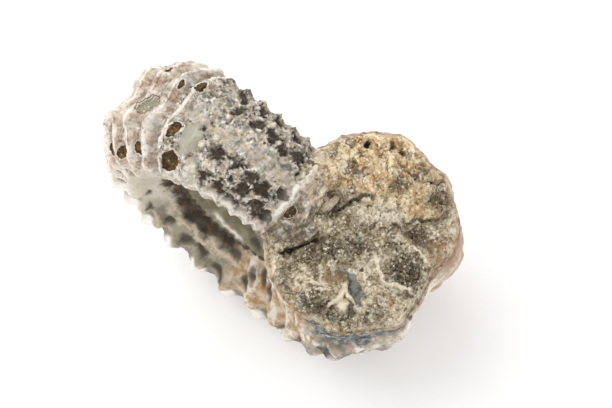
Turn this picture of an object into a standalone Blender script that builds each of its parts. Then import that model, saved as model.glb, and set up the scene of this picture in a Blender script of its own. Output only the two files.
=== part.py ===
"""A stout ribbed ammonite with the last part of its shell broken off.

One solid, standing on the worn knobs of its outer rim. The shell is a tube that coils
in the XZ plane, so its axis lies along Y. An azimuth is measured from +X towards +Z, and
"turns" are azimuths in whole turns, 0 beside the break and negative back in growth.
Lengths below are in millimetres and angles in degrees until they reach the mesh.
"""
import math

import bmesh
import bpy
import numpy as np
from mathutils import Vector, noise

MM = 0.001
NAME = "ammonite"

# How the fossil rests: the coil is turned about its own axis, and lifted off the floor.
REST_TURN = -21.5
AXIS_X = -3.01
AXIS_Y = -0.50
AXIS_HEIGHT = 23.1

# The coil. Each size is its value at 0 turns, times its growth per turn.
VENTER_RADIUS, VENTER_GROWTH = 26.3, 1.86
WHORL_HEIGHT, HEIGHT_GROWTH = 17.0, 1.95
WHORL_BREADTH, BREADTH_GROWTH = 18.5, 1.82
FLARE_BREADTH, FLARE_RATE = 3.0, 3.6
SECTION_ROUNDNESS = 2.1
FIRST_TURN = -3.6
FIRST_CHAMBER_RADIUS, FIRST_CHAMBER_BREADTH = 2.6, 2.0

# Ribs per turn, and how many more there are back in growth: RIBS_ADDED times the turns
# back to RIBS_POWER, until they stay the same.
RIBS_PER_TURN = 20.0
RIBS_ADDED, RIBS_POWER, RIBS_STEADY_FROM = 38.0, 2.5, 0.8
RIB_PHASE = 0.167
RIB_HEIGHT = 0.022
RIB_FADES_AT = 112.0

# Rows of knobs on the ribs: angle from the middle of the rim, and height over whorl size.
KNOB_ROWS = ((28.0, 0.057), (50.0, 0.032), (72.0, 0.068), (98.0, 0.070))
KNOB_WIDTH, KNOB_LENGTH, KNOB_BLUNTNESS = 11.0, 0.27, 1.15
# The row nearest the open side is only on the last part of the whorl.
SIDE_ROW_FROM, SIDE_ROW_SOFTNESS = -200.0, 6.0
# Back from these azimuths the knobs are worn lower, by this share each time.
WORN = ((-236.0, 0.5), (-335.0, 0.6))
WORN_SOFTNESS = 6.0
GROOVE_DEPTH, GROOVE_WIDTH = 0.045, 14.0
CHIPPED_SHARE, CHIPPED_LENGTH = 0.75, 9.0

# Dents of the shell towards the break: section angle, half width, the azimuth from which
# they are deep, how gently they start, and depth. A swelling has a negative depth.
SHELL_DENTS = {
    "flattened side": (45, 60, -21, 15, 1.8),
    "notch": (-14, 13, 5, 6, 0.9),
    "swollen shoulder": (-42, 16, 5, 6, -0.5),
    "last knob": (27, 9, 14, 4, -0.8),
}

# The break: where the shell ends at each section angle (0 on the rim, 180 on the inner side).
BREAK_EDGE = ((-180, 77), (-150, 71), (-130, 65), (-110, 57), (-90, 47), (-60, 32),
              (-30, 24), (0, 21), (30, 22), (60, 29), (90, 41), (110, 50), (130, 58),
              (150, 67), (180, 77))
BREAK_PLANE_HEIGHT, BREAK_PLANE_SLOPE = 16.0, -0.22
BREAK_RIM_WIDTH = 0.12
BREAK_ROUGHNESS, BREAK_GRAIN = 0.35, 2.2

# Forms on the broken face, as (x, y, half width, half length, turn, height).
BREAK_FORMS = {
    "cave": (9.2, 1.7, 1.3, 1.6, 0, -1.6),
    "cave groove": (10.8, 2.8, 0.5, 1.5, -27, -0.7),
    "pinhole": (8.4, 9.0, 0.55, 0.55, 0, -1.3),
    "slit": (17.6, 11.0, 0.5, 1.3, -50, -1.0),
    "ledge groove": (18.6, 6.4, 0.5, 2.6, -49, -0.7),
    "shaded trough": (19.6, 4.4, 0.9, 2.6, -85, -1.0),
    "sugary patch": (20.5, 0.2, 2.3, 2.2, 0, 0.8),
    "arc": (20.4, 2.9, 0.5, 1.8, -80, 0.7),
    "short curve": (17.1, -1.0, 0.4, 1.2, 51, 0.5),
    "long curve": (20.3, -1.8, 0.4, 2.4, -84, 0.6),
    "wedge": (17.2, -5.0, 0.7, 1.6, 52, -1.2),
    "right leg": (16.8, -6.1, 0.4, 1.3, 64, 0.7),
    "left leg": (15.5, -6.9, 0.4, 1.6, 0, 0.6),
    "feather": (13.6, -7.1, 0.5, 2.0, -50, 0.5),
    "smooth patch": (14.2, -5.2, 0.8, 1.7, -39, -0.6),
    "inner crack": (8.9, -4.6, 0.45, 2.6, -36, -1.2),
    "dark lump": (17.2, -7.7, 0.9, 0.9, 0, 0.6),
    "round patch": (13.4, -9.6, 1.2, 1.2, 0, 0.5),
    "crystal patch": (13.9, 3.7, 1.6, 1.9, -60, 0.5),
    "inner lip": (6.5, -4.6, 3.8, 5.2, 0, -3.2),
}
# Above this line of (x, y) points the face stands proud of the rest.
LEDGE = ((4.3, 4.3), (8.1, 2.7), (10.4, 4.0), (12.7, 5.0), (17.3, 5.7), (19.7, 7.0), (20.6, 9.9))
LEDGE_HEIGHT, LEDGE_SOFTNESS = 0.9, 0.5

# Mesh fineness.
COLUMN_STEP = 1.2
ROWS = 96
FACE_RINGS = 60
VOXEL = 0.34
KEPT_SHARE = 0.070


def spiral(value, growth, turns):
    """A size that grows by the same factor each turn."""
    return value * growth ** turns


def rib_number(turns):
    """Ribs counted from 0 turns; a rib's crest is at each whole number."""
    back = -np.asarray(turns, dtype=float)
    growing = np.clip(back, 0, RIBS_STEADY_FROM)
    added = RIBS_ADDED / (RIBS_POWER + 1) * growing ** (RIBS_POWER + 1)
    steady = np.clip(back - RIBS_STEADY_FROM, 0, None) * RIBS_ADDED * RIBS_STEADY_FROM ** RIBS_POWER
    return RIB_PHASE - RIBS_PER_TURN * back - added - steady


def ornament(azimuth, angle):
    """Height of the ribs, knobs and rim groove, as a share of the whorl's size."""
    rib = rib_number(azimuth / 360)
    off_mid = np.abs(angle)
    crest = (0.5 + 0.5 * np.cos(2 * math.pi * rib)) ** 1.3
    fade = 1 / (1 + np.exp((off_mid - RIB_FADES_AT) / 6))
    height = RIB_HEIGHT * (crest - 0.35) * fade
    off_crest = np.mod(rib + 0.5, 1) - 0.5
    kept = 1.0
    for start, share in WORN:
        kept = kept * (1 - share / (1 + np.exp(np.clip((azimuth - start) / WORN_SOFTNESS, -50, 50))))
    for row, share in KNOB_ROWS:
        away = (off_crest / KNOB_LENGTH) ** 2 + ((off_mid - row) / KNOB_WIDTH) ** 2
        if row == KNOB_ROWS[-1][0]:
            late = np.clip((SIDE_ROW_FROM - azimuth) / SIDE_ROW_SOFTNESS, -50, 50)
            share = share / (1 + np.exp(late))
        height = height + kept * share * np.exp(-away ** KNOB_BLUNTNESS)
    height = height - GROOVE_DEPTH * np.exp(-(angle / GROOVE_WIDTH) ** 2)
    to_break = break_azimuth(angle) - azimuth
    return height * (1 - CHIPPED_SHARE * np.exp(-(to_break / CHIPPED_LENGTH) ** 2))


def dent_depth(azimuth, angle):
    """How far the shell is dented in."""
    depth = 0.0
    for middle, half_width, start, softness, deepest in SHELL_DENTS.values():
        share = np.exp(-((angle - middle) / half_width) ** 2)
        depth = depth + deepest * share / (1 + np.exp((start - azimuth) / softness))
    return depth


def shell_points(azimuth, angle):
    """Points of the shell's surface, before the coil is turned to rest."""
    turns = azimuth / 360
    venter = spiral(VENTER_RADIUS, VENTER_GROWTH, turns)
    height = spiral(WHORL_HEIGHT, HEIGHT_GROWTH, turns)
    breadth = spiral(WHORL_BREADTH, BREADTH_GROWTH, turns) + FLARE_BREADTH * np.exp(FLARE_RATE * turns)
    outward, across = np.cos(np.radians(angle)), np.sin(np.radians(angle))
    bulge = (np.abs(outward) ** SECTION_ROUNDNESS + np.abs(across) ** SECTION_ROUNDNESS) ** (
        -1 / SECTION_ROUNDNESS)
    raised = ornament(azimuth, angle) * (height + breadth) / 2 - dent_depth(azimuth, angle)
    narrow = 1 + 0.10 * outward - 0.10 * outward ** 2
    radius = venter - height / 2 + (height / 2 * bulge + raised) * outward
    side = -(breadth / 2 * bulge * narrow + raised) * across
    turned = np.radians(azimuth)
    return np.stack([radius * np.cos(turned), side, radius * np.sin(turned)], axis=-1)


def break_azimuth(angle):
    """Azimuth at which the shell is broken off, for each section angle."""
    angles, azimuths = zip(*BREAK_EDGE)
    return np.interp(angle, angles, azimuths)


def form_height(x, y, form):
    """One rounded hollow or lump of the broken face."""
    centre_x, centre_y, half_width, half_length, turn, height = form
    cosine, sine = math.cos(math.radians(turn)), math.sin(math.radians(turn))
    along = (-(x - centre_x) * sine + (y - centre_y) * cosine) / half_length
    aside = ((x - centre_x) * cosine + (y - centre_y) * sine) / half_width
    return height * np.exp(-(along ** 2 + aside ** 2) ** 1.5)


def break_relief(x, y):
    """Height of the broken face over its plane."""
    ledge_x, ledge_y = zip(*LEDGE)
    above = y - np.interp(x, ledge_x, ledge_y)
    height = LEDGE_HEIGHT / (1 + np.exp(-above / LEDGE_SOFTNESS))
    for form in BREAK_FORMS.values():
        height = height + form_height(x, y, form)
    rough = [noise.fractal(Vector((a / BREAK_GRAIN, b / BREAK_GRAIN, 0.0)), 0.7, 2.0, 3)
             for a, b in zip(x.ravel(), y.ravel())]
    return height + BREAK_ROUGHNESS * np.reshape(rough, x.shape)


def shell_grid():
    """The tube's points, column by column, from the first chamber to the break."""
    angle = np.linspace(-180, 180, ROWS, endpoint=False)
    end = break_azimuth(angle)
    start = 360 * FIRST_TURN
    columns = int(-start / COLUMN_STEP)
    share = np.linspace(0, 1, columns)[:, None]
    azimuth = start + (end - start) * share
    return shell_points(azimuth, np.broadcast_to(angle, azimuth.shape))


def face_grid(edge):
    """Rings of the broken face, from the shell's edge in to the middle."""
    middle = edge.mean(axis=0)
    rings = []
    for ring in range(1, FACE_RINGS):
        inward = ring / FACE_RINGS
        points = edge + (middle - edge) * inward
        x, y = points[:, 0], points[:, 1]
        plane = BREAK_PLANE_HEIGHT + BREAK_PLANE_SLOPE * x + break_relief(x, y)
        blend = min(inward / BREAK_RIM_WIDTH, 1.0)
        points[:, 2] += (plane - points[:, 2]) * blend
        rings.append(points)
    return np.array(rings)


def join_loops(mesh, loops):
    """Faces between each loop of vertices and the next one."""
    for first, second in zip(loops, loops[1:]):
        for i in range(len(first)):
            j = (i + 1) % len(first)
            mesh.faces.new((first[i], first[j], second[j], second[i]))


def rest_points(points):
    """Points of the coil turned about its axis and set on the floor, in metres."""
    turn = math.radians(REST_TURN)
    x, y, z = points[..., 0], points[..., 1], points[..., 2]
    turned_x = x * math.cos(turn) - z * math.sin(turn) + AXIS_X
    turned_z = x * math.sin(turn) + z * math.cos(turn) + AXIS_HEIGHT
    return np.stack([turned_x, y + AXIS_Y, turned_z], axis=-1) * MM


def build_coil():
    """The closed tube with its broken end, and the first chamber in the middle."""
    tube = shell_grid()
    rings = np.concatenate([tube, face_grid(tube[-1])])
    mesh = bmesh.new()
    loops = [[mesh.verts.new(point) for point in ring] for ring in rest_points(rings)]
    join_loops(mesh, loops)
    mesh.faces.new(loops[0][::-1])
    mesh.faces.new(loops[-1])
    chamber = bmesh.ops.create_icosphere(mesh, subdivisions=3, radius=FIRST_CHAMBER_RADIUS * MM)
    flatten = (1, FIRST_CHAMBER_BREADTH / (2 * FIRST_CHAMBER_RADIUS), 1)
    bmesh.ops.scale(mesh, verts=chamber["verts"], vec=flatten)
    bmesh.ops.translate(mesh, verts=chamber["verts"], vec=Vector(rest_points(np.zeros(3))))
    bmesh.ops.recalc_face_normals(mesh, faces=mesh.faces)
    data = bpy.data.meshes.new(NAME)
    mesh.to_mesh(data)
    mesh.free()
    return bpy.data.objects.new(NAME, data)


def add_floor_cutter(collection):
    """A block below the floor, which wears the lowest knobs flat."""
    bpy.ops.mesh.primitive_cube_add(size=1)
    cutter = bpy.context.object
    cutter.name = "floor_cutter"
    cutter.scale = (0.1, 0.1, 0.02)
    cutter.location = (0, 0, -0.01)
    cutter.hide_render = True
    cutter.display_type = "WIRE"
    for owner in list(cutter.users_collection):
        owner.objects.unlink(cutter)
    collection.objects.link(cutter)
    return cutter


def stone_material():
    """Grey-brown stone."""
    material = bpy.data.materials.new("fossil_stone")
    material.use_nodes = True
    shader = material.node_tree.nodes["Principled BSDF"]
    shader.inputs["Base Color"].default_value = (0.42, 0.36, 0.29, 1)
    shader.inputs["Roughness"].default_value = 0.75
    shader.inputs["Metallic"].default_value = 0.0
    return material


def main():
    for item in list(bpy.data.objects):
        bpy.data.objects.remove(item)
    fossil = bpy.data.collections.new("ammonite_fossil")
    cutters = bpy.data.collections.new("cutters")
    for collection in (fossil, cutters):
        bpy.context.scene.collection.children.link(collection)
    coil = build_coil()
    coil.data.materials.append(stone_material())
    fossil.objects.link(coil)
    remesh = coil.modifiers.new("one skin", "REMESH")
    remesh.mode = "VOXEL"
    remesh.voxel_size = VOXEL * MM
    decimate = coil.modifiers.new("facets", "DECIMATE")
    decimate.ratio = KEPT_SHARE
    decimate.use_collapse_triangulate = True
    wear = coil.modifiers.new("worn feet", "BOOLEAN")
    wear.operation = "DIFFERENCE"
    wear.solver = "EXACT"
    wear.object = add_floor_cutter(cutters)


main()
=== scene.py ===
"""The looks of a broken ammonite: a ribbed, knobbed shell that coils in one plane.

The shell is grown by one Geometry Nodes tree in four stretches, round a small first
chamber. The broken end is a craggy slab inside the shell's broken edge, and crystals are
scattered on it by a second tree. Sizes are in millimetres in the coil's own space: its
axis is Y, azimuths run from +X towards +Z, and section angles from the middle of the rim
(0) to the inner side (180).
"""
import math

import bmesh
import bpy
import numpy as np
from mathutils import Matrix, Vector, noise


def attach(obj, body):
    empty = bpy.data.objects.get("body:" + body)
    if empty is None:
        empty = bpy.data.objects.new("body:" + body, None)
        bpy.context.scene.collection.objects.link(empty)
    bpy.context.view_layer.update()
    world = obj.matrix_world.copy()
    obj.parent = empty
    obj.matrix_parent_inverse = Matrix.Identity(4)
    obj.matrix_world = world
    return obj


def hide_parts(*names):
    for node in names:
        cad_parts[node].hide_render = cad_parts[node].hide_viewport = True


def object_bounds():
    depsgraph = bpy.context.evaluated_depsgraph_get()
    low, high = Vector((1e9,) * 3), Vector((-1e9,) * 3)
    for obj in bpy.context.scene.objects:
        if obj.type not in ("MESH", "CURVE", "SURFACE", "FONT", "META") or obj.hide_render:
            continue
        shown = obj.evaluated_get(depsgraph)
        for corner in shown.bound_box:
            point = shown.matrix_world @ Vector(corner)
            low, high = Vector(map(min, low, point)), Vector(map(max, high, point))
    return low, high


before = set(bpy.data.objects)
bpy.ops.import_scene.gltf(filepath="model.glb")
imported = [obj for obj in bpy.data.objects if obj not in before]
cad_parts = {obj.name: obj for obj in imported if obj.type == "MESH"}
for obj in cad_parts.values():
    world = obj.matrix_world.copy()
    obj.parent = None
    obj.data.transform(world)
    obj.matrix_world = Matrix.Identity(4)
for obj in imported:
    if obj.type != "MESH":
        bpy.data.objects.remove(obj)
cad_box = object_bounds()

MM = 0.001
FAR_OFF = 7.3  # how far each whole seed moves a texture

# --- The coil, as the solid has it ------------------------------------------------------
REST_TURN = -21.5
AXIS = (-3.01, -0.50, 23.1)
COIL = {
    "Venter radius": 26.3,
    "Venter growth": 1.86,
    "Whorl height": 17.0,
    "Height growth": 1.95,
    "Whorl breadth": 18.5,
    "Breadth growth": 1.82,
    "Flare breadth": 3.0,
    "Flare rate": 3.6,
    "Roundness": 2.1,
    "Ribs per turn": 20.0,
    "Ribs added": 38.0,
    "Ribs power": 2.5,
    "Ribs steady from": 0.8,
    "Rib phase": 0.167,
    "Rib height": 0.022,
    "Ridge height": 0.012,
    "Knob length": 0.27,
    "Knob width": 11.0,
    "Knob bluntness": 1.15,
    "Side row from": -200.0,
    "Groove depth": 0.045,
    "Groove width": 14.0,
    "Chipped share": 0.75,
    "Chipped length": 9.0,
}
KNOB_ROWS = ((28.0, 0.057), (50.0, 0.032), (72.0, 0.068), (98.0, 0.070))
# Dents towards the break: section angle, half width, start azimuth, softness, depth.
SHELL_DENTS = {
    "flattened side": (45, 60, -21, 15, 1.8),
    "notch": (-14, 13, 5, 6, 0.9),
    "swollen shoulder": (-42, 16, 5, 6, -0.5),
    "last knob": (27, 9, 14, 4, -0.8),
}
BREAK_EDGE = ((-180, 77), (-150, 71), (-130, 65), (-110, 57), (-90, 47), (-60, 32),
              (-30, 24), (0, 21), (30, 22), (60, 29), (90, 41), (110, 50), (130, 58),
              (150, 67), (180, 77))
PLANE_HEIGHT, PLANE_SLOPE = 16.0, -0.22
# Back from these azimuths the knobs are worn lower, by this share each time.
WORN = ((-236.0, 0.5), (-335.0, 0.6))
WORN_SOFTNESS = 6.0
# Section angle at which the ribs fade out, towards the inner side.
RIB_FADES_AT = 112.0

# The ball that the coil starts from, finished as the innermost whorl is.
FIRST_CHAMBER_RADIUS, FIRST_CHAMBER_BREADTH, CHAMBER_BUMPS = 2.6, 2.0, 0.05
CHAMBER_MARKS = {"azimuth": -1300, "angle": 120, "cover": 1, "crest": 0.3}

# --- What the finish adds ---------------------------------------------------------------
SHELL_THICKNESS = 0.22
PEEL_DEPTH = 0.20
MERGED_WITHIN = 0.002
# How the section narrows towards the rim, how far the broken edge is chipped back, and over
# how many degrees the end of a stretch dips under the next one.
SIDE_TAPER, EDGE_CHIPS, TUCK_LENGTH = 0.10, 3.5, 1.5
# Edges of shell layers across the whorl: azimuth, lean over 60 degrees, half width, height.
LAYER_EDGES = ((-229.4, 1.0, 1.2, 0.36), (-216.5, 4.0, 0.7, 0.16), (-207.6, 1.0, 0.7, 0.16),
               (-194.6, 1.0, 0.8, 0.14))


# Relief in millimetres: lumps of the whole, crumbling, ring and well of an eye, and how
# deep each kind of patch is sunk.
LUMPS, GROWTH_LINES, SEAM_SMOOTHER, BARE_CHANCE = 0.55, 0.4, 0.1, 1.7
EYE_RING, EYE_WELL = 0.22, 0.5
SUNK = {"brown": 0.40, "hole": 0.34, "oval": 0.3, "slate": 0.25}


class Field:
    """A number that varies over a surface, worked out by Math nodes in one tree."""

    def __init__(self, tree, socket):
        self.tree, self.socket = tree, socket

    def calc(self, operation, *others):
        return calc(self.tree, operation, self, *others)

    def swapped(self, operation, other):
        return calc(self.tree, operation, other, self)

    def with_operation(method, operation):
        return lambda self, other: method(self, operation, other)

    __add__ = __radd__ = with_operation(calc, "ADD")
    __mul__ = __rmul__ = with_operation(calc, "MULTIPLY")
    __sub__, __rsub__ = with_operation(calc, "SUBTRACT"), with_operation(swapped, "SUBTRACT")
    __truediv__, __rtruediv__ = with_operation(calc, "DIVIDE"), with_operation(swapped, "DIVIDE")
    __pow__, __rpow__ = with_operation(calc, "POWER"), with_operation(swapped, "POWER")


def plug(tree, value, slot):
    """Link a field or a node's output to a socket, or set the socket to a constant."""
    if isinstance(value, Field):
        tree.links.new(value.socket, slot)
    elif isinstance(value, bpy.types.NodeSocket):
        tree.links.new(value, slot)
    else:
        slot.default_value = value


def add_node(tree, kind, inputs=None, **settings):
    """A node with these settings, and its inputs linked or set."""
    node = tree.nodes.new(kind)
    for name, value in settings.items():
        setattr(node, name, value)
    for slot, value in (inputs or {}).items():
        plug(tree, value, node.inputs[slot])
    return node


def calc(tree, operation, *values):
    """One Math node."""
    node = add_node(tree, "ShaderNodeMath", dict(enumerate(values)), operation=operation)
    return Field(tree, node.outputs[0])


def hump(field, centre, width):
    """A smooth bump of height 1 around a centre."""
    return calc(field.tree, "EXPONENT", ((field - centre) / width) ** 2 * -1)


def ramp(field, low, high):
    """0 below low, 1 above high, and smooth between them; low may be the larger one."""
    flipped = low > high
    node = add_node(field.tree, "ShaderNodeMapRange", {
        "Value": field, "From Min": min(low, high), "From Max": max(low, high),
        "To Min": float(flipped), "To Max": float(not flipped)}, interpolation_type="SMOOTHSTEP")
    return Field(field.tree, node.outputs["Result"])


def vector(tree, x, y, z):
    """Three fields or numbers as one vector."""
    return add_node(tree, "ShaderNodeCombineXYZ", {0: x, 1: y, 2: z}).outputs[0]


def vector_math(tree, operation, *values):
    """One Vector Math node."""
    return add_node(tree, "ShaderNodeVectorMath", dict(enumerate(values)), operation=operation)


def shifted(tree, place, seed):
    """The same place, moved far off for each seed."""
    away = seed * FAR_OFF
    away = away if isinstance(away, Field) else (away, away, away)
    return vector_math(tree, "ADD", place, away).outputs[0]


def clouds(tree, place, size, seed, detail=3.0, roughness=0.55):
    """Fractal noise from 0 to 1, with lumps of about this size."""
    node = add_node(tree, "ShaderNodeTexNoise", {
        "Vector": shifted(tree, place, seed), "Scale": 1.0 / size, "Detail": detail, "Roughness": roughness})
    return Field(tree, node.outputs[0])


def cells(tree, place, size, seed=0.0):
    """Voronoi cells of about this size: distance from their middles, and a random colour each."""
    node = add_node(tree, "ShaderNodeTexVoronoi", {"Vector": shifted(tree, place, seed), "Scale": 1.0 / size})
    return Field(tree, node.outputs["Distance"]), node.outputs["Color"]


def scatter_value(tree, number):
    """A random value from 0 to 1 for each whole number."""
    node = add_node(tree, "ShaderNodeTexWhiteNoise", {"W": number}, noise_dimensions="1D")
    return Field(tree, node.outputs["Value"])


# --- The coiled shell, grown by Geometry Nodes ------------------------------------------
# Patches of the surface: azimuth, section angle, and half their size in each, in degrees.
PATCHES = {
    "plate": ((-240.8, 24, 4.4, 18), (-245.8, 60, 2.6, 22)),
    "brown": ((-233, 24, 2.4, 9), (-235, 57.5, 3.3, 12.5), (-214.8, 59, 3, 10), (-199.4, 64, 2.6, 7),
        (-186.2, 58, 2, 7), (-231.2, -28, 2.4, 7), (-208.2, -32, 1.8, 5), (-195.4, -46, 1.8, 6),
        (-214, -50, 1.2, 5), (-248, -46, 1.8, 5), (-258, -48, 1.6, 5), (-222.5, -22, 0.9, 6)),
    "eye": ((-213.2, 9, 4.6, 12.5), (-292.2, 27, 2.8, 9)),
    "hole": ((-253.2, 24, 3.7, 9.5), (-262, 20, 2.6, 7), (-251.8, 55, 2.6, 8), (-260.8, 58, 3.4, 8.5),
        (-267.7, 61, 2.6, 6), (-270.6, 23, 3.4, 8), (-270.6, 41, 3, 8.5), (-277, 27, 2.8, 9),
        (-279.3, 48, 3.6, 8), (-286, 52, 3, 8), (-285, 16, 2.6, 7), (-240.3, -35, 2.4, 6),
        (-249.8, -30, 3, 7), (-259.6, -30, 3, 7), (-267.4, -29, 2.8, 7), (-273.6, -22, 3, 6),
        (-281, -30, 3.4, 9), (-286.4, -10, 2.2, 8), (-246, -55, 2.4, 7), (-256, -58, 2.6, 8),
        (-265, -54, 2.8, 9), (-275, -56, 3.2, 9), (-243, 9, 1.3, 3.5), (-263, 39, 1.6, 4)),
    "lump": ((2, 83, 14, 7), (-18, 95, 6, 7), (16.5, 99, 7, 4), (21.5, 17, 4, 2.5), (-3, 13, 6, 2.5),
        (-36, 98, 3, 8)),
    "slate": ((35, 81, 4.5, 6), (31, 72, 4, 6.5), (26.5, 63, 4, 6), (20, 55, 4, 6), (11, 66, 4, 7),
        (4, 52, 5, 5)),
    "oval": ((-140.3, 106, 3.4, 3.2), (-122.8, 112, 4, 4), (-106.4, 110, 5, 5), (-94, 113, 4.5, 4.5),
        (-79.8, 103, 5, 7), (-115.5, 130, 5, 4.5), (-104, 132, 5, 3.5), (-61.5, 115, 3, 8),
        (-56.5, 127, 3, 8), (-46.5, 131, 2.8, 9), (-40.5, 122, 2.4, 9), (-413.5, 117, 7, 12),
        (-73, 133, 4.5, 6), (-155, 112, 3, 2.6)),
}
# How uneven and how soft the edges of those patches are.
WOBBLE = {"plate": 1.1, "brown": 2.4, "eye": 1.4, "hole": 5.5, "lump": 1.8, "slate": 2.2, "oval": 1.6}
SOFT_EDGE = {"plate": 0.15, "brown": 0.15, "eye": 0.15, "hole": 0.15, "lump": 0.15, "slate": 0.4, "oval": 0.8}


def falling(field, middle, softness):
    """1 well below the middle, 0 well above it."""
    return 1 / (1 + ((field - middle) / softness).calc("MINIMUM", 50).calc("EXPONENT"))


def rib_count(size, turns):
    """Ribs counted from 0 turns; a rib's crest is at each whole number."""
    back = turns * -1.0
    steady = size["Ribs steady from"]
    growing = back.calc("MAXIMUM", 0).calc("MINIMUM", steady)
    added = size["Ribs added"] / (size["Ribs power"] + 1) * growing ** (size["Ribs power"] + 1)
    beyond = (back - steady).calc("MAXIMUM", 0) * size["Ribs added"] * steady ** size["Ribs power"]
    return size["Rib phase"] - size["Ribs per turn"] * back - added - beyond


def rib_ornament(tree, size, azimuth, angle, rib, to_break):
    """Height of the ribs, knobs and rim groove over the whorl's size, and masks for their looks."""
    off_mid = angle.calc("ABSOLUTE")
    crest = (calc(tree, "COSINE", rib * math.tau) * 0.5 + 0.5) ** 1.3
    fade = falling(off_mid, RIB_FADES_AT, 6)
    off_crest = (rib + 0.5).calc("FRACT") - 0.5
    ridge = hump(off_crest, -0.04, 0.05) * fade
    height = size["Rib height"] * (crest - 0.35) * fade + ridge * size["Ridge height"]
    along = (off_crest / size["Knob length"]) ** 2.0
    number = rib.calc("ROUND") + angle.calc("SIGN") * 0.37
    kept = 1.0
    for start, share in WORN:
        kept = (1 - falling(azimuth, start, WORN_SOFTNESS) * share) * kept
    knobs = 0.0
    for place, (row, share) in enumerate(KNOB_ROWS):
        lot = scatter_value(tree, number + place * 11.13)
        away = along + ((off_mid - row) / size["Knob width"]) ** 2.0
        knob = calc(tree, "EXPONENT", away ** size["Knob bluntness"] * -1)
        if row == KNOB_ROWS[-1][0]:
            knob = knob * falling(azimuth * -1, size["Side row from"] * -1, 6)
        height = height + knob * share * kept * (lot * 0.3 + 0.85)
        knobs = knob * (lot * 0.5 + 0.5) + knobs
    height = height - hump(angle, 0, size["Groove width"]) * size["Groove depth"]
    chipped = size["Chipped share"] * size["Broken"] * hump(to_break, 0, size["Chipped length"])
    masks = {"crest": crest, "ridge": ridge, "knobs": knobs}
    return height * (1 - chipped), masks


def dent_depth(azimuth, angle):
    """How far the shell is dented in, in millimetres."""
    depth = 0.0
    for middle, half_width, start, softness, deepest in SHELL_DENTS.values():
        onset = falling(azimuth * -1, -start, softness)
        depth = hump(angle, middle, half_width) * onset * deepest + depth
    return depth


def break_edge(tree, angle):
    """Azimuth of the shell's broken edge at each section angle."""
    node = tree.nodes.new("ShaderNodeFloatCurve")
    curve = node.mapping.curves[0]
    points = [((a + 180) / 360, azimuth / 100) for a, azimuth in BREAK_EDGE]
    curve.points[0].location = points[0]
    curve.points[1].location = points[-1]
    for point in points[1:-1]:
        curve.points.new(*point)
    node.mapping.update()
    plug(tree, (angle + 180) / 360, node.inputs["Value"])
    return Field(tree, node.outputs[0]) * 100.0


def store(tree, geometry, name, value, domain="POINT"):
    """A named attribute, which the material reads."""
    node = add_node(tree, "GeometryNodeStoreNamedAttribute", {
        "Geometry": geometry, "Name": name, "Value": value}, data_type="FLOAT", domain=domain)
    return node.outputs["Geometry"]


def recall(tree, name):
    """A stored attribute as a field."""
    node = add_node(tree, "GeometryNodeInputNamedAttribute", {"Name": name}, data_type="FLOAT")
    return Field(tree, node.outputs["Attribute"])


def position_of_points(tree):
    return add_node(tree, "GeometryNodeInputPosition").outputs[0]


def set_position(tree, geometry, **moved):
    """Points moved to a Position or by an Offset."""
    return add_node(tree, "GeometryNodeSetPosition", {"Geometry": geometry, **moved}).outputs["Geometry"]


def along_normal(tree, amount):
    """An offset along the surface's normal."""
    normal = add_node(tree, "GeometryNodeInputNormal").outputs[0]
    node = vector_math(tree, "SCALE", normal)
    plug(tree, amount, node.inputs["Scale"])
    return node.outputs[0]


def kept_in_box(tree, geometry):
    """Points moved back into the solid's box, which also wears the lowest knobs flat."""
    position = position_of_points(tree)
    for operation, corner in zip(("MAXIMUM", "MINIMUM"), cad_box):
        position = vector_math(tree, operation, position, tuple(corner)).outputs[0]
    return set_position(tree, geometry, Position=position)


def patch_mask(azimuth, angle, wobble, softness, patches):
    """1 inside any of the patches, with uneven edges that are soft or sharp."""
    mask = 0.0
    for patch_azimuth, patch_angle, half_azimuth, half_angle in patches:
        away = ((azimuth - patch_azimuth) / half_azimuth) ** 2.0
        away = away + ((angle - patch_angle) / half_angle) ** 2 + wobble
        inside = ramp(away, 1 + softness, 1 - softness)
        mask = inside if isinstance(mask, float) else mask.calc("MAXIMUM", inside)
    return mask


def bare_amount(azimuth, angle, crest, knobs):
    """How far the shell has flaked off and shows the stone inside, before chance is added."""
    off_mid = angle.calc("ABSOLUTE")
    stretch = ramp(azimuth, -221, -231) * ramp(azimuth, -290, -285)
    rows = ramp(off_mid, 90, 76)
    kept_between = (1 - crest) * ramp(off_mid, 50, 68) * 0.9
    return stretch * rows * (0.98 - kept_between) + knobs * 0.22


def place_section(tree, size, azimuth, angle, end, is_open, lip, closed_end):
    """Where the points of the whorl's section go in the coil's space, and masks for their looks."""
    turns = azimuth / 360
    venter = size["Venter radius"] * size["Venter growth"] ** turns
    height = size["Whorl height"] * size["Height growth"] ** turns
    breadth = size["Whorl breadth"] * size["Breadth growth"] ** turns
    breadth = breadth + size["Flare breadth"] * (size["Flare rate"] * turns).calc("EXPONENT")
    ornament, masks = rib_ornament(tree, size, azimuth, angle, rib_count(size, turns), end - azimuth)

    turned = angle * (math.pi / 180)
    outward, across = turned.calc("COSINE"), turned.calc("SINE")
    roundness = size["Roundness"]
    bulge = outward.calc("ABSOLUTE") ** roundness + across.calc("ABSOLUTE") ** roundness
    bulge = bulge ** (-1 / roundness)
    narrow = 1 + SIDE_TAPER * outward - SIDE_TAPER * outward * outward
    raised = ornament * (height + breadth) * 0.5 - dent_depth(azimuth, angle)
    raised = raised - lip * size["Shell thickness"]
    tuck = ramp(azimuth - size["Start azimuth"], TUCK_LENGTH, 0)
    tuck = tuck + ramp(end - azimuth, TUCK_LENGTH, 0) * (1 - size["Broken"])
    raised = raised - tuck * size["Tuck depth"]
    radius = venter - height * 0.5 + (height * 0.5 * bulge + raised) * outward * is_open
    side = (breadth * 0.5 * bulge * narrow + raised) * across * is_open * -1
    around = azimuth * (1 - closed_end) * (math.pi / 180)
    return vector(tree, radius * around.calc("COSINE"), side, radius * around.calc("SINE")), masks


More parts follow.
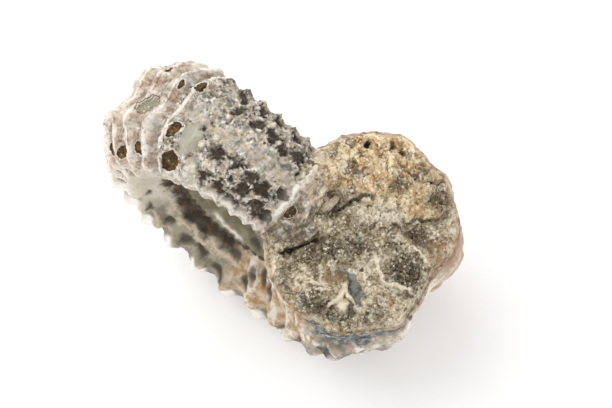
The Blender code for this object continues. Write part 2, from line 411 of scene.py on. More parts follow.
def coil_tree():
    """The tree that grows a stretch of the shell from its sizes."""
    tree = bpy.data.node_groups.new("coiled shell", "GeometryNodeTree")
    inputs = dict(COIL, **{
        "Start azimuth": -310.0,
        "End azimuth": -300.0,
        "Broken": 1.0,
        "Columns": 400,
        "Rows": 230,
        "Tuck depth": 0.15,
        "Shell thickness": SHELL_THICKNESS,
        "Peel depth": PEEL_DEPTH,
        "Weathering": 1.0,
        "Seed": 3.0,
    })
    group_in, size = tree_inputs(tree, inputs)

    grid = add_node(tree, "GeometryNodeMeshGrid", {
        "Size X": 1, "Size Y": 1, "Vertices X": size["Columns"], "Vertices Y": size["Rows"]})
    split = add_node(tree, "ShaderNodeSeparateXYZ", {0: position_of_points(tree)})
    growth = Field(tree, split.outputs[0]) + 0.5
    angle = Field(tree, split.outputs[1]) * 360.0

    # The last column closes the tube and the one before it is the shell's inner edge.
    column = 1 / (size["Columns"] - 1)
    share = (growth / (1 - column * 2)).calc("MINIMUM", 1)
    is_open = growth.calc("GREATER_THAN", column * 0.5) * growth.calc("LESS_THAN", 1 - column * 0.5)
    lip = growth.calc("GREATER_THAN", 1 - column * 1.5)
    chips = clouds(tree, vector(tree, angle / 9, 0, 0), 1, size["Seed"]) - 0.5
    end = (break_edge(tree, angle) + chips * EDGE_CHIPS) * size["Broken"]
    end = end + size["End azimuth"] * (1 - size["Broken"])
    azimuth = size["Start azimuth"] + (end - size["Start azimuth"]) * share

    closed_end = growth.calc("GREATER_THAN", 1 - column * 0.5) * size["Broken"]
    placed, masks = place_section(tree, size, azimuth, angle, end, is_open, lip, closed_end)

    geometry = grid.outputs["Mesh"]
    masks.update({"azimuth": azimuth, "angle": angle, "lip": lip * is_open, "to_break": end - azimuth})
    for name, value in masks.items():
        geometry = store(tree, geometry, name, value)
    geometry = set_position(tree, geometry, Position=placed)
    merge = add_node(tree, "GeometryNodeMergeByDistance", {"Geometry": geometry, "Distance": MERGED_WITHIN})
    turn = add_node(tree, "GeometryNodeTransform", {
        "Geometry": weather(tree, size, merge.outputs["Geometry"]),
        "Translation": [value * MM for value in AXIS],
        "Rotation": (0, -math.radians(REST_TURN), 0),
        "Scale": (MM, MM, MM)})
    kept = kept_in_box(tree, turn.outputs["Geometry"])
    smooth = add_node(tree, "GeometryNodeSetShadeSmooth", {"Geometry": kept})
    finish_tree(tree, smooth.outputs["Geometry"], group_in.outputs["Material"])
    return tree


def weather(tree, size, geometry):
    """Flaked shell, growth lines and rough stone, as real relief."""
    azimuth, angle = recall(tree, "azimuth"), recall(tree, "angle")
    crest, knobs = recall(tree, "crest"), recall(tree, "knobs")
    place = position_of_points(tree)
    wobble = clouds(tree, place, 1.1, size["Seed"] + 5, detail=4) - 0.5
    for name, patches in PATCHES.items():
        mask = patch_mask(azimuth, angle, wobble * WOBBLE[name], SOFT_EDGE[name], patches)
        geometry = store(tree, geometry, name, mask)
    plate, brown, eye, hole = (recall(tree, name) for name in ("plate", "brown", "eye", "hole"))
    smaller = clouds(tree, place, 1.3, size["Seed"] + 8, detail=5, roughness=0.62)
    far_side = ramp(angle, 0, -10) * 22.0
    worst = ramp(azimuth + far_side, -238, -262) * ramp(azimuth, -290, -286)
    worst = worst * ramp(angle.calc("ABSOLUTE"), 10, 20) * ramp(angle, 74, 66)
    hole = hole.calc("MAXIMUM", ramp(smaller, 0.545, 0.585) * worst)
    geometry = store(tree, geometry, "hole", hole)
    hole = recall(tree, "hole")
    luck = clouds(tree, place, 2.4, size["Seed"] + 9, detail=6, roughness=0.66) - 0.5
    bare = bare_amount(azimuth, angle, crest, knobs) + luck * BARE_CHANCE - plate
    geometry = store(tree, geometry, "cover", ramp(bare, 0.50, 0.42))
    cover = recall(tree, "cover")
    stony = 1 - cover
    lumps = (clouds(tree, place, 2, size["Seed"] + 1, detail=2) - 0.5) * LUMPS
    crumbs = clouds(tree, place, 0.85, size["Seed"] + 2, detail=5, roughness=0.68) - 0.5
    lines_place = vector(tree, azimuth * 0.9, angle / 55, 0)
    lines = clouds(tree, lines_place, 1, size["Seed"] + 4, detail=4, roughness=0.6) - 0.5
    seam = ramp(azimuth, -285, -288)
    bend = (clouds(tree, place, 3, size["Seed"] + 6) - 0.5) * 5.0
    layers = 0.0
    for middle, lean, half_width, height in LAYER_EDGES:
        layers = hump(azimuth + bend, angle * (lean / 60) + middle, half_width) * height + layers
    gappy = 0.4 + 0.6 * ramp(clouds(tree, place, 2.6, size["Seed"] + 7), 0.38, 0.55)
    layers = layers * ramp(angle.calc("ABSOLUTE"), 96, 70) * gappy
    geometry = store(tree, geometry, "layers", layers)
    plain = 1 - plate * 0.85
    lines = lines * (GROWTH_LINES - seam * SEAM_SMOOTHER)
    rough = crumbs * (0.55 + 0.55 * stony) * plain + lines * cover * plain
    sunk = stony * size["Peel depth"] + ramp(brown, 0.3, 0.7) * SUNK["brown"] + hole * SUNK["hole"]
    ring = ramp(eye, 0.02, 0.3) * EYE_RING - ramp(eye, 0.45, 0.8) * EYE_WELL
    # How deep each point lies, which the shell's material darkens as painted shade in pits and cracks.
    geometry = store(tree, geometry, "pits", rough * -1 + sunk * 0.5)
    sunk = sunk + recall(tree, "oval") * SUNK["oval"] + recall(tree, "slate") * SUNK["slate"]
    relief = (lumps + rough + ring + layers - sunk) * size["Weathering"]
    return set_position(tree, geometry, Offset=along_normal(tree, relief))


def tree_inputs(tree, inputs):
    """The tree's named inputs, and each number among them as a field."""
    tree.interface.new_socket("Geometry", in_out="INPUT", socket_type="NodeSocketGeometry")
    group_in = tree.nodes.new("NodeGroupInput")
    size = {}
    for name, value in inputs.items():
        kind = "NodeSocketInt" if isinstance(value, int) else "NodeSocketFloat"
        tree.interface.new_socket(name, in_out="INPUT", socket_type=kind).default_value = value
        size[name] = Field(tree, group_in.outputs[name])
    tree.interface.new_socket("Material", in_out="INPUT", socket_type="NodeSocketMaterial")
    tree.interface.new_socket("Geometry", in_out="OUTPUT", socket_type="NodeSocketGeometry")
    return group_in, size


def finish_tree(tree, geometry, material):
    """Realize Instances, Set Material and the group's output."""
    real = add_node(tree, "GeometryNodeRealizeInstances", {0: geometry})
    paint = add_node(tree, "GeometryNodeSetMaterial", {"Geometry": real.outputs[0], "Material": material})
    add_node(tree, "NodeGroupOutput", {0: paint.outputs[0]})


def grow(name, tree, base, settings):
    """Run a tree on a mesh with these inputs, and keep the result as a plain mesh object."""
    item = bpy.data.objects.new(name + "_source", base)
    bpy.context.scene.collection.objects.link(item)
    modifier = item.modifiers.new("grow", "NODES")
    modifier.node_group = tree
    sockets = {s.name: s.identifier for s in tree.interface.items_tree if s.in_out == "INPUT"}
    for key, value in settings.items():
        modifier[sockets[key]] = value
    graph = bpy.context.evaluated_depsgraph_get()
    data = bpy.data.meshes.new_from_object(item.evaluated_get(graph))
    item.modifiers.remove(modifier)
    bpy.data.objects.remove(item)
    data.name = name
    return linked_piece(data)


def linked_piece(data):
    """An object at the origin that shows this mesh."""
    piece = bpy.data.objects.new(data.name, data)
    bpy.context.scene.collection.objects.link(piece)
    return piece


def built_piece(name, mesh, material, marks):
    """A piece from a bmesh, with the point attributes that its material reads."""
    data = bpy.data.meshes.new(name)
    mesh.to_mesh(data)
    mesh.free()
    data.materials.append(material)
    for mark, values in marks.items():
        layer = data.attributes.new(mark, "FLOAT", "POINT")
        layer.data.foreach_set("value", np.broadcast_to(values, len(data.vertices)).astype(np.float32))
    return linked_piece(data)


def point_values(data, name):
    """One attribute's value at each point."""
    values = np.zeros(len(data.vertices), np.float32)
    data.attributes[name].data.foreach_get("value", values)
    return values


def point_places(data):
    """Where each point is, in metres."""
    places = np.zeros(len(data.vertices) * 3, np.float32)
    data.vertices.foreach_get("co", places)
    return places.reshape(-1, 3).astype(float)


def turned_about_axis(x, z, degrees):
    """X and Z turned about the coil's axis."""
    turn = math.radians(degrees)
    return x * math.cos(turn) - z * math.sin(turn), x * math.sin(turn) + z * math.cos(turn)


def to_coil(points):
    """Points of the resting fossil, in metres, in the coil's own space in millimetres."""
    x, y, z = (points / MM - np.array(AXIS)).T
    x, z = turned_about_axis(x, z, -REST_TURN)
    return np.stack([x, y, z], -1)


def to_rest(points):
    """The other way: the coil's own space to the resting fossil."""
    x, y, z = points.T
    x, z = turned_about_axis(x, z, REST_TURN)
    return (np.stack([x, y, z], -1) + np.array(AXIS)) * MM


def rest_vector(x, y, z):
    """A direction of the coil's own space, turned to rest."""
    x, z = turned_about_axis(x, z, REST_TURN)
    return Vector((x, y, z))


def build_first_chamber(material):
    """The flattened ball in the middle, where the coil begins."""
    mesh = bmesh.new()
    bmesh.ops.create_icosphere(mesh, subdivisions=4, radius=1)
    bumps = [1 + CHAMBER_BUMPS * noise.fractal(point.co * 3, 0.7, 2, 3) for point in mesh.verts]
    places = np.array([point.co * bump for point, bump in zip(mesh.verts, bumps)])
    places = places * (FIRST_CHAMBER_RADIUS, FIRST_CHAMBER_BREADTH / 2, FIRST_CHAMBER_RADIUS)
    for point, place in zip(mesh.verts, to_rest(places)):
        point.co = place
    piece = built_piece("first_chamber", mesh, material, CHAMBER_MARKS)
    piece.data.shade_smooth()
    return piece


# --- The broken face --------------------------------------------------------------------
# Forms on the face, as (x, y, half width, half length, turn, height).
FACE_FORMS = {
    "cave": (9.2, 1.7, 1.3, 1.6, 0, -1.6),
    "cave groove": (10.8, 2.8, 0.5, 1.5, -27, -0.7),
    "pinhole": (8.4, 9.0, 0.34, 0.34, 0, -1.8),
    "slit": (17.6, 11.0, 0.3, 1.3, -50, -1.1),
    "ledge groove": (18.6, 6.4, 0.5, 2.6, -49, -0.7),
    "shaded trough": (19.6, 4.4, 0.9, 2.6, -85, -1.0),
    "sugary patch": (20.5, 0.2, 2.3, 2.2, 0, 0.8),
    "arc": (20.7, 2.9, 0.3, 1.7, -97, 0.6),
    "short curve": (17.2, -1.1, 0.3, 1.2, 47, 0.6),
    "middle curve": (18.6, -2.0, 0.3, 0.9, 67, 0.6),
    "long curve": (20.7, -1.8, 0.3, 1.8, -72, 0.7),
    "wedge": (16.9, -5.1, 0.75, 1.65, 53, -0.9),
    "right leg": (16.9, -6.1, 0.25, 1.3, 66, 0.8),
    "left leg": (15.7, -7.1, 0.25, 1.6, -6, 0.8),
    "between legs": (16.4, -7.1, 0.8, 1.0, 20, 0.4),
    "feather": (13.0, -7.2, 0.2, 1.3, -56, 0.5),
    "second feather": (13.6, -7.5, 0.18, 1.4, -55, 0.5),
    "third feather": (12.4, -7.3, 0.16, 1.0, -76, 0.4),
    "smooth patch": (14.2, -5.2, 0.8, 1.7, -39, -0.6),
    "inner crack": (8.9, -4.6, 0.4, 2.6, -36, -1.3),
    "dark lump": (17.2, -7.7, 0.9, 0.9, 0, 0.6),
    "round patch": (13.4, -9.6, 1.2, 1.2, 0, 0.5),
    "crystal patch": (13.9, 3.7, 1.6, 1.9, -60, 0.5),
    "inner lip": (6.5, -4.6, 3.8, 5.2, 0, -3.2),
    "streak": (14.4, 9.6, 0.25, 2.0, -88, -0.5),
    "brown pit": (10.7, 10.9, 0.35, 0.4, 0, -0.5),
    "second pit": (12.0, 10.9, 0.4, 0.35, 0, -0.5),
    "rim gutter": (17.0, -10.2, 0.35, 4.6, -66, -0.5),
}
# Above this line of (x, y) points the face stands proud of the rest.
LEDGE = ((4.3, 4.3), (8.1, 2.7), (10.4, 4.0), (12.7, 5.0), (17.3, 5.7), (19.7, 7.0), (20.6, 9.9))
LEDGE_HEIGHT, LEDGE_SOFTNESS = 0.9, 0.3
# How far the forms wander off their outlines, and the height of lumps and of crumbs.
FORM_WANDER, FACE_LUMPS, FACE_CRUMBS = 0.35, 0.36, 0.10
# Share of the way to the middle over which the face meets the rim.
RIM_BLEND = 0.09

# Stains, and painted shade in the hollows of the face, as (x, y, half width, half length, turn, strength) for
# each colour.
STAINS = {
    "pale": ((4.6, 3.4, 0.9, 2.6, -30, 1), (7.8, 5.3, 0.9, 0.8, 0, 1.1), (9.8, 5.9, 0.6, 1.1, -40, 1),
        (12.3, 2.5, 0.9, 0.8, 0, 1), (13.6, 4.1, 0.8, 0.9, 0, 1), (15.1, 4.4, 0.9, 1.3, 20, 1.1),
        (11, 0.2, 0.5, 0.6, 0, 0.9), (16.4, -2.6, 0.9, 0.8, 0, 0.9), (13.3, -4.3, 0.5, 0.5, 0, 0.8),
        (18, -5.2, 1.2, 1.2, 0, 0.5), (17, 12, 0.4, 1.6, -60, 0.7), (12.6, 8, 0.7, 0.7, 0, 0.5),
        (6, 7.4, 0.8, 0.8, 0, 0.7), (9.2, -1.6, 0.7, 1, -40, 0.5), (12, -8.6, 0.8, 0.6, 0, 0.5),
        (21.3, 8.9, 0.5, 0.8, 0, 0.6), (16, -10.4, 1.6, 0.5, 0, 0.5)),
    "cream": ((20.7, 2.9, 0.22, 1.6, -97, 1), (17.2, -1.1, 0.25, 1.2, 47, 1.3),
        (18.6, -2, 0.3, 0.9, 67, 1.3), (20.7, -1.8, 0.25, 1.8, -72, 1.3), (15.9, -5.6, 0.3, 0.5, 20, 1.3),
        (16.9, -6.1, 0.25, 1.4, 66, 1.5), (15.7, -7.1, 0.28, 1.6, -6, 1.4), (16.6, -7.3, 0.8, 0.9, 30, 1),
        (13, -7.2, 0.18, 1.3, -56, 1.2), (13.6, -7.5, 0.16, 1.4, -55, 1.1), (12.4, -7.3, 0.15, 1, -76, 1),
        (22.9, 8, 0.5, 1.3, -60, 0.8), (8.2, -9, 0.35, 2, 32, 1.1), (13.6, -11.5, 0.3, 3.4, -88, 1.1),
        (20.6, -8.8, 0.3, 3.4, -58, 1.1), (23.6, -4.6, 0.3, 2.4, -20, 0.8),
        (16.9, 5.4, 0.2, 1.6, -80, 0.6)),
    # Most dark entries are painted shade in the face's hollows (the cave and its groove, the pinhole, slit,
    # ledge groove, trough, crack, streak and pits); the rest are dark marks of the stone.
    "dark": ((9, 1.6, 1.3, 1.5, 0, 0.7), (10.7, 2.7, 0.25, 1.4, -27, 1.3), (8.4, 9, 0.3, 0.3, 0, 2.2),
        (17.6, 11, 0.22, 1.3, -50, 1.7), (18.6, 6.3, 0.3, 2.4, -49, 1.1), (19.6, 4.4, 0.7, 2.4, -85, 0.7),
        (8.9, -4.6, 0.28, 2.6, -36, 1.7), (15, 8.8, 2.2, 0.3, -4, 0.5), (10.7, 10.9, 0.5, 0.4, 0, 1),
        (12, 10.9, 0.5, 0.35, 0, 1), (17.9, -7.4, 0.9, 0.8, 0, 0.9), (16.3, -2.7, 0.22, 0.2, 0, 1.5),
        (11.4, 4.2, 0.3, 1.2, -50, 0.9), (16.6, 3.9, 0.9, 0.3, 0, 0.8), (14.4, -0.6, 0.5, 0.7, 0, 0.8),
        (14.4, 9.7, 0.2, 2, -88, 0.8), (22, -1.8, 0.3, 1.6, -60, 0.7), (16, -4.9, 0.2, 1.2, 52, 1)),
    "sugar": ((20.5, 0.2, 2.3, 2.2, 0, 1.5), (19.4, 4.6, 1, 2, -85, 0.5), (18.9, 9.6, 1.7, 1.8, 0, 1.3),
        (15.4, 10.6, 1, 0.8, 0, 0.9), (13.4, -9.6, 1.5, 1.4, 0, 1.2), (11.6, -3.4, 1.5, 3.8, -50, 0.9),
        (20.4, -6, 1.6, 2, 0, 0.5), (9, 0.8, 1.2, 1.6, 0, 0.8), (16.6, -8.9, 1.2, 2.4, -80, 0.8),
        (14.1, 7.6, 1.1, 1.1, 0, 0.4), (12.4, 0.6, 2, 1.2, 0, 0.5), (9.6, -8.4, 1.1, 1.8, 20, 0.6),
        (17.4, 2, 1.3, 0.8, 0, 0.6)),
    "blue": ((17, -5.1, 0.72, 1.65, 53, 1.4), (15.4, -4.6, 0.4, 0.5, 54, 1),
        (14.6, -4, 0.3, 1.4, -80, 0.7)),
    "pink": ((14.2, -5.3, 0.8, 1.5, -39, 1.4), (22.4, 4.4, 1.3, 2.2, 0, 0.55),
        (19, 4.2, 0.8, 1.8, -85, 0.6)),
    "olive": ((9.2, 1.6, 1.5, 1.6, 0, 0.8), (11.5, 0.9, 1.3, 0.9, 0, 0.9), (13.3, 5.9, 0.8, 0.9, 0, 0.9),
        (14.1, 7.9, 0.9, 1, 0, 0.7), (10.6, -3.6, 1.6, 3, -50, 0.6), (16.6, 7.6, 1.6, 0.9, 0, 0.6),
        (10.6, 7.6, 0.8, 0.8, 0, 0.4)),
    "rust": ((23.1, 2.6, 0.4, 0.45, 0, 1.3), (22.6, 5.2, 0.35, 0.4, 0, 1), (23.4, 3.6, 0.3, 0.5, 0, 1),
        (22, 3.4, 0.35, 0.35, 0, 0.9), (21.1, -3.6, 0.35, 0.5, 0, 1), (19.3, -3.7, 0.3, 0.5, 0, 1),
        (22.2, 6.2, 0.5, 0.5, 0, 1), (21.4, 5, 0.4, 0.4, 0, 0.8), (23.2, 4.4, 0.4, 0.5, 0, 0.9),
        (12.8, -11, 0.2, 1.8, -85, 0.9), (18, -9.6, 0.2, 3, -64, 0.9), (10.2, 6.2, 0.4, 0.35, 0, 1.1),
        (7.7, 5.8, 0.3, 0.35, 0, 1), (6.6, 3.4, 0.25, 2.2, 60, 0.7), (9.8, 4.6, 0.3, 0.3, 0, 1)),
}
RING_POINTS, FACE_RINGS, GAP_WIDTH = 600, 156, 0.16
# The face starts this far under the shell's edge; its underside lies a little deeper.
RIM_SUNK, UNDERSIDE_SUNK, FLOOR_OF_FACE = 0.12, 0.6, 5.0
# Crystal grains: size across, how far their faces tilt, depth of the gaps between them, and
# how strongly the painted shade in the gaps and each grain's own tone show. The small ones show where it is
# sugary.
GRAINS = ((1.9, 0.26, 0.05, 0.2, 0.8), (0.95, 0.28, 0.05, 0.35, 1.0),
          (0.52, 0.30, 0.05, 0.45, 0.7), (0.30, 0.30, 0.02, 0.2, 0.3))
SUGARY_UNDER = 0.8


def spot(x, y, form):
    """One rounded hollow, lump or stain."""
    centre_x, centre_y, half_width, half_length, turn, strength = form
    cosine, sine = math.cos(math.radians(turn)), math.sin(math.radians(turn))
    along = (-(x - centre_x) * sine + (y - centre_y) * cosine) / half_length
    aside = ((x - centre_x) * cosine + (y - centre_y) * sine) / half_width
    return strength * np.exp(-(along ** 2 + aside ** 2) ** 1.5)


def above_ledge(x, y):
    """1 on the raised upper part of the face, 0 below its ledge."""
    ledge_x, ledge_y = zip(*LEDGE)
    return 1 / (1 + np.exp(-(y - np.interp(x, ledge_x, ledge_y)) / LEDGE_SOFTNESS))


def chance(column, row, seed):
    """A repeatable random value from 0 to 1 for each square of a grid."""
    value = np.sin(column * 127.1 + row * 311.7 + seed * 74.7) * 43758.5453
    return value - np.floor(value)


def grains(x, y, size, tilt, seed):
    """A surface of flat crystal faces: height, closeness to a gap, and a random tone each."""
    column, row = np.floor(x / size), np.floor(y / size)
    nearest, second = np.full(x.shape, 1e9), np.full(x.shape, 1e9)
    height, tone = np.zeros(x.shape), np.zeros(x.shape)
    for step_x in (-1, 0, 1):
        for step_y in (-1, 0, 1):
            own_x, own_y = column + step_x, row + step_y
            aside = x - (own_x + chance(own_x, own_y, seed)) * size
            along = y - (own_y + chance(own_x, own_y, seed + 1)) * size
            distance = aside ** 2 + along ** 2
            lean = (chance(own_x, own_y, seed + 2) - 0.5) * 2 * tilt
            pitch = (chance(own_x, own_y, seed + 3) - 0.5) * 2 * tilt
            lift = (chance(own_x, own_y, seed + 4) - 0.5) * tilt * size
            closer = distance < nearest
            height = np.where(closer, lean * aside + pitch * along + lift, height)
            tone = np.where(closer, chance(own_x, own_y, seed + 5), tone)
            second = np.minimum(second, np.maximum(distance, nearest))
            nearest = np.minimum(nearest, distance)
    gap = np.exp(-((np.sqrt(second) - np.sqrt(nearest)) / (GAP_WIDTH * size)) ** 2)
    return height, gap, tone


def fractal(x, y, size, octaves, seed):
    """Fractal noise about 0 for each point."""
    return np.array([noise.fractal(Vector((a / size, b / size, seed)), 0.75, 2.0, octaves)
                     for a, b in zip(x, y)])


def stained(x, y, name):
    """How strongly each point takes one of the stains."""
    return sum(spot(x, y, stain) for stain in STAINS[name])


def face_surface(x, y):
    """Height of the broken face over its plane, and what its colours need to know."""
    bend_x = x + FORM_WANDER * fractal(x, y, 1.3, 3, 4.0)
    bend_y = y + FORM_WANDER * fractal(x, y, 1.3, 3, 9.0)
    marks = {name: stained(bend_x, bend_y, name) for name in STAINS}
    marks["tan"] = above_ledge(bend_x, bend_y)
    sugar = np.clip(marks["sugar"], 0, 1)
    height = LEDGE_HEIGHT * marks["tan"]
    for form in FACE_FORMS.values():
        height = height + spot(bend_x, bend_y, form)
    fine = fractal(x, y, 0.7, 4, 17.0)
    height = height + FACE_LUMPS * fractal(x, y, 2.2, 4, 0.0)
    height = height + FACE_CRUMBS * fine
    smooth = 1 - 0.75 * np.clip(marks["pink"] * 0.6 + marks["blue"] + marks["cream"], 0, 1)
    gaps, tones = np.zeros(x.shape), np.zeros(x.shape)
    for step, (size, tilt, depth, gap_share, tone_share) in enumerate(GRAINS):
        lift, gap, tone = grains(bend_x, bend_y, size, tilt, step * 7.0)
        rough = smooth * (0.7 + (0.8 * sugar if size < SUGARY_UNDER else 0))
        height = height + (lift - depth * gap) * rough
        gaps = gaps + gap * rough * gap_share
        tones = tones + (tone - 0.5) * tone_share
    # How much painted shade each point takes: the gaps between grains and the low spots of the fine crumbs.
    marks["gap"] = gaps + 0.4 * np.clip(-fine, 0, 1)
    marks["tone"] = tones + 0.5
    marks["hue"] = 0.5 + 0.8 * fractal(bend_x, bend_y, 1.5, 3, 23.0)
    return height, marks


def rim_points(shell):
    """The inner edge of the shell at the break, evenly in section angle, in coil space."""
    lip = point_values(shell.data, "lip") > 0.5
    places = to_coil(point_places(shell.data)[lip])
    angle = point_values(shell.data, "angle")[lip]
    order = np.argsort(angle)
    wanted = np.linspace(-176, 176, RING_POINTS)
    return np.stack([np.interp(wanted, angle[order], places[order, i]) for i in range(3)], -1)


def face_points(rim):
    """Rings of the face from the rim to its middle, the hidden underside, and the colour marks."""
    middle = rim.mean(axis=0)
    points = np.array([rim + (middle - rim) * ring / FACE_RINGS for ring in range(FACE_RINGS)])
    relief, marks = face_surface(points[..., 0].ravel(), points[..., 1].ravel())
    surface = PLANE_HEIGHT + PLANE_SLOPE * points[..., 0].ravel() + relief
    share = np.repeat(np.arange(FACE_RINGS) / FACE_RINGS, RING_POINTS)
    blend = np.clip(share / RIM_BLEND, 0, 1)
    blend = blend * blend * (3 - 2 * blend)
    ragged = 0.25 * (relief - relief.mean()) * np.clip(share * 60, 0, 1)
    from_rim = np.tile(rim[:, 2] - RIM_SUNK, FACE_RINGS) + ragged
    points[..., 2] = (from_rim + (surface - from_rim) * blend).reshape(FACE_RINGS, RING_POINTS)
    marks["rim"] = np.exp(-(share / 0.035) ** 2)
    under = rim + (middle - rim) * 0.03
    under[:, 2] = rim[:, 2] - UNDERSIDE_SUNK
    return points, under, middle, marks


def build_face(shell, material):
    """The broken face as one closed body."""
    points, under, middle, marks = face_points(rim_points(shell))
    mesh = bmesh.new()
    loops = [[mesh.verts.new(p) for p in to_rest(ring)] for ring in (under, *points)]
    for first, second in zip(loops, loops[1:]):
        for i in range(RING_POINTS):
            j = (i + 1) % RING_POINTS
            mesh.faces.new((first[i], first[j], second[j], second[i]))
    top = points[-1].mean(axis=0)
    low = np.array((middle[0], middle[1], FLOOR_OF_FACE))
    for loop, tip in ((loops[-1], top), (loops[0][::-1], low)):
        end = mesh.verts.new(to_rest(tip[None])[0])
        for i in range(RING_POINTS):
            mesh.faces.new((loop[i], loop[(i + 1) % RING_POINTS], end))
    bmesh.ops.recalc_face_normals(mesh, faces=mesh.faces)
    # The underside takes the rim's marks, and the two tips those of the nearest points.
    marks = {name: np.concatenate([values[:RING_POINTS], values, values[-1:], values[:1]])
             for name, values in marks.items()}
    piece = built_piece("broken_face", mesh, material, marks)
    piece.data.shade_flat()
    return piece


# --- Crystals on the broken face, scattered by Geometry Nodes ---------------------------
def random_node(tree, seed, **highest):
    """A random value for each point, or a random vector up to the highest one."""
    kind = "FLOAT_VECTOR" if highest else "FLOAT"
    node = add_node(tree, "FunctionNodeRandomValue", {"Seed": seed, **highest}, data_type=kind)
    return node.outputs[0 if highest else 1]


def crystal_tree():
    """The tree that grows small blocky crystals on a surface, thickest where it is sugary."""
    tree = bpy.data.node_groups.new("calcite crystals", "GeometryNodeTree")
    group_in, size = tree_inputs(tree, {
        "Crystals per square mm": 6.0,
        "Smallest": 0.10,
        "Largest": 0.42,
        "Seed": 5,
    })
    normal = add_node(tree, "GeometryNodeInputNormal").outputs[0]
    facing = vector_math(tree, "DOT_PRODUCT", normal, rest_vector(0, 0, 1))
    up = ramp(Field(tree, facing.outputs["Value"]), 0.15, 0.5)
    drifts = ramp(clouds(tree, position_of_points(tree), 1.6 * MM, 0.002, detail=3.0), 0.40, 0.62)
    sugar = recall(tree, "sugar").calc("MINIMUM", 1.0)
    share = (drifts * 0.3 + sugar * 0.9 + 0.04) * (1.0 - recall(tree, "rim"))
    spread = add_node(tree, "GeometryNodeDistributePointsOnFaces", {
        "Mesh": group_in.outputs["Geometry"],
        "Density": size["Crystals per square mm"] * 1e6 * up * share,
        "Seed": size["Seed"]}, distribute_method="RANDOM")

    block = add_node(tree, "GeometryNodeMeshCube", {"Size": (1.0, 0.82, 0.68)})
    small = Field(tree, random_node(tree, size["Seed"] + 1.0)) ** 2.4
    onto = add_node(tree, "GeometryNodeInstanceOnPoints", {
        "Points": spread.outputs["Points"],
        "Instance": block.outputs["Mesh"],
        "Rotation": random_node(tree, size["Seed"] + 2.0, Max=(math.tau, math.tau, math.tau)),
        "Scale": (size["Smallest"] + (size["Largest"] - size["Smallest"]) * small) * MM})
    lot = random_node(tree, size["Seed"] + 3.0)
    marked = store(tree, onto.outputs["Instances"], "lot", lot, "INSTANCE")
    geometry = add_node(tree, "GeometryNodeRealizeInstances", {0: marked}).outputs[0]
    geometry = store(tree, geometry, "tone", (recall(tree, "lot") - 0.5) * 1.3 + 0.5)
    geometry = store(tree, geometry, "gap", 0.0)
    finish_tree(tree, geometry, group_in.outputs["Material"])
    return tree


# --- Materials --------------------------------------------------------------------------
def colour_mix(tree, share, first, second):
    """One colour mixed into another by a field."""
    inputs = {0: share}
    for slot, value in ((6, first), (7, second)):
        value = value.colour if isinstance(value, Coat) else value
        inputs[slot] = (*value, 1.0) if isinstance(value, tuple) else value
    return add_node(tree, "ShaderNodeMix", inputs, data_type="RGBA").outputs[2]


def shader_group(name, inputs, outputs):
    """An empty shader node group with these named inputs and outputs."""
    tree = bpy.data.node_groups.new(name, "ShaderNodeTree")
    tree.interface.new_socket("Place", in_out="INPUT", socket_type="NodeSocketVector")
    for key, value in inputs.items():
        tree.interface.new_socket(key, in_out="INPUT", socket_type="NodeSocketFloat").default_value = value
    for key, kind in outputs.items():
        tree.interface.new_socket(key, in_out="OUTPUT", socket_type=kind)
    group_in = add_node(tree, "NodeGroupInput")
    fields = {key: Field(tree, group_in.outputs[key]) for key in inputs}
    return tree, group_in.outputs["Place"], fields


def fleck_group():
    """Scattered angular flecks: a mask, and a random value for each fleck."""
    tree, place, value = shader_group(
        "mineral flecks", {"Size": 0.4, "Amount": 0.3, "Seed": 0.0},
        {"Mask": "NodeSocketFloat", "Random": "NodeSocketFloat"})
    bend = add_node(tree, "ShaderNodeTexNoise", {"Vector": place, "Scale": 2.5})
    nudge = vector_math(tree, "MULTIPLY_ADD", bend.outputs["Color"], (0.35, 0.35, 0.35), place)
    distance, colour = cells(tree, nudge.outputs[0], value["Size"], seed=value["Seed"])
    split = add_node(tree, "ShaderNodeSeparateColor", {0: colour})
    chosen = Field(tree, split.outputs[0]).calc("LESS_THAN", value["Amount"])
    add_node(tree, "NodeGroupOutput", {
        "Mask": chosen * ramp(distance, 0.62, 0.42), "Random": split.outputs[1]})
    return tree


def stain_group():
    """Cloudy stains with soft uneven edges."""
    tree, place, value = shader_group(
        "mineral stain", {"Size": 3.0, "Amount": 0.5, "Seed": 0.0}, {"Mask": "NodeSocketFloat"})
    cloud = clouds(tree, place, value["Size"], value["Seed"], detail=6.0, roughness=0.65)
    edge = (cloud - (1.0 - value["Amount"]) * 0.5 - 0.25) * 7.0 + 0.5
    add_node(tree, "NodeGroupOutput", {"Mask": edge.calc("MAXIMUM", 0.0).calc("MINIMUM", 1.0)})
    return tree


def grain_group():
    """Fine stone grain: a normal with pits and crystals."""
    tree, place, value = shader_group(
        "stone grain", {"Size": 0.3, "Strength": 0.5, "Seed": 0.0}, {"Normal": "NodeSocketVector"})
    fine = clouds(tree, place, value["Size"], value["Seed"], detail=4.0, roughness=0.7)
    distance, _ = cells(tree, place, value["Size"] * 1.6, seed=value["Seed"])
    bump = add_node(tree, "ShaderNodeBump", {
        "Strength": value["Strength"], "Distance": 0.25 * MM, "Height": fine * 0.7 + distance * 0.3})
    add_node(tree, "NodeGroupOutput", {"Normal": bump.outputs[0]})
    return tree


class Coat:
    """A colour built up in layers."""

    def __init__(self, paint, base):
        self.paint, self.colour = paint, base

    def over(self, colour, share):
        """One more colour, where share says."""
        self.colour = colour_mix(self.paint.tree, share, self.colour, colour)
        return self

    def mottled(self, *stains):
        """Stains, each with its colour, lump size, amount, seed and strength."""
        for colour, size, amount, seed, strength in stains:
            share = self.paint.stain(size, amount, seed)
            self.over(colour, share if strength == 1 else share * strength)
        return self


